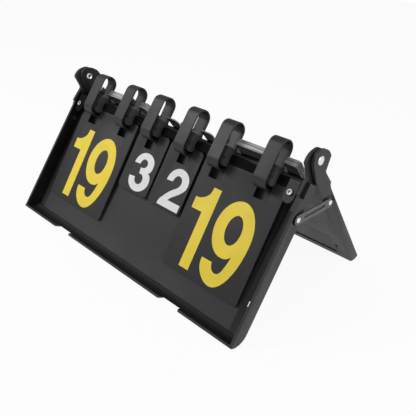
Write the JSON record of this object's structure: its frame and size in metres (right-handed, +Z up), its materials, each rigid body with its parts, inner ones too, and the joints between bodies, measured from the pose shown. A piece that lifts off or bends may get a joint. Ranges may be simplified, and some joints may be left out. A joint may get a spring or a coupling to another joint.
{
  "type": "tabletop flip scoreboard",
  "caption": "Folding tabletop flip scoreboard: two shallow plastic trays hinged at the top as an A-frame, with numbered cards hung on strap loops.",
  "frame": {"origin": "middle of the footprint on the table, with the stand opened", "axes": "+X across the board to the viewer's right, +Y to the back, +Z up"},
  "size_m": [0.383, 0.22, 0.168],
  "materials": {
    "case_plastic": "fine matt moulding grain",
    "ring_plastic": "satin",
    "card_face": "matt printed card face",
    "card_stack": "pale cut edges of stacked cards",
    "rivet_steel": "bright plated",
    "stay_steel": "dull plated strip"
  },
  "bodies": {
    "front": {"front_tray": "case_plastic", "left_hinge_rivet": "rivet_steel", "right_hinge_rivet": "rivet_steel", "hinge_washers": "rivet_steel", "front_stay_rivets": "rivet_steel", "ring_rail": "case_plastic", "rail_screws": "rivet_steel", "ring_block_1": "ring_plastic", "ring_block_2": "ring_plastic", "ring_block_3": "ring_plastic", "ring_block_4": "ring_plastic", "ring_block_5": "ring_plastic", "ring_block_6": "ring_plastic", "ring_1": "ring_plastic", "ring_2": "ring_plastic", "ring_3": "ring_plastic", "ring_4": "ring_plastic", "ring_5": "ring_plastic", "ring_6": "ring_plastic", "left_large_rest": "card_stack", "left_small_rest": "card_stack", "right_small_rest": "card_stack", "right_large_rest": "card_stack"},
    "rear": {"rear_tray": "case_plastic", "rear_stay_studs": "rivet_steel"},
    "left_stay_bar": {"left_stay": "stay_steel"},
    "right_stay_bar": {"right_stay": "stay_steel"},
    "left_large_top": {"left_large_card": "card_face"},
    "left_small_top": {"left_small_card": "card_face"},
    "right_small_top": {"right_small_card": "card_face"},
    "right_large_top": {"right_large_card": "card_face"},
    "left_large_back": {"left_large_turned": "card_stack"},
    "left_small_back": {"left_small_turned": "card_stack"},
    "right_small_back": {"right_small_turned": "card_stack"},
    "right_large_back": {"right_large_turned": "card_stack"}
  },
  "joints": [
    {"name": "rear_tray_fold", "type": "hinge", "parent": "front", "child": "rear", "pos_m": [0, 0, 0.15741], "axis": [1, 0, 0], "range_deg": [0, 275]},
    {"name": "left_stay_swing", "type": "hinge", "parent": "front", "child": "left_stay_bar", "pos_m": [-0.1903, -0.02605, 0.10539], "axis": [1, 0, 0], "range_deg": [-120, 0]},
    {"name": "right_stay_swing", "type": "hinge", "parent": "front", "child": "right_stay_bar", "pos_m": [0.1903, -0.02605, 0.10539], "axis": [1, 0, 0], "range_deg": [-120, 0]},
    {"name": "left_large_lift", "type": "hinge", "parent": "front", "child": "left_large_top", "pos_m": [-0.11375, -0.02064, 0.12915], "axis": [1, 0, 0], "range_deg": [-110, 0]},
    {"name": "left_small_lift", "type": "hinge", "parent": "front", "child": "left_small_top", "pos_m": [-0.0278, -0.02064, 0.12915], "axis": [1, 0, 0], "range_deg": [-110, 0]},
    {"name": "right_small_lift", "type": "hinge", "parent": "front", "child": "right_small_top", "pos_m": [0.0278, -0.02064, 0.12915], "axis": [1, 0, 0], "range_deg": [-110, 0]},
    {"name": "right_large_lift", "type": "hinge", "parent": "front", "child": "right_large_top", "pos_m": [0.11375, -0.02064, 0.12915], "axis": [1, 0, 0], "range_deg": [-110, 0]},
    {"name": "left_large_turn", "type": "hinge", "parent": "rear", "child": "left_large_back", "pos_m": [-0.11375, 0, 0.15741], "axis": [-1, 0, 0], "range_deg": [-150, 0]},
    {"name": "left_small_turn", "type": "hinge", "parent": "rear", "child": "left_small_back", "pos_m": [-0.0278, 0, 0.15741], "axis": [-1, 0, 0], "range_deg": [-150, 0]},
    {"name": "right_small_turn", "type": "hinge", "parent": "rear", "child": "right_small_back", "pos_m": [0.0278, 0, 0.15741], "axis": [-1, 0, 0], "range_deg": [-150, 0]},
    {"name": "right_large_turn", "type": "hinge", "parent": "rear", "child": "right_large_back", "pos_m": [0.11375, 0, 0.15741], "axis": [-1, 0, 0], "range_deg": [-150, 0]}
  ],
  "couplings": [
    {"joint": "left_stay_swing", "follows": "rear_tray_fold", "ratio": -0.43},
    {"joint": "right_stay_swing", "follows": "rear_tray_fold", "ratio": -0.43}
  ]
}
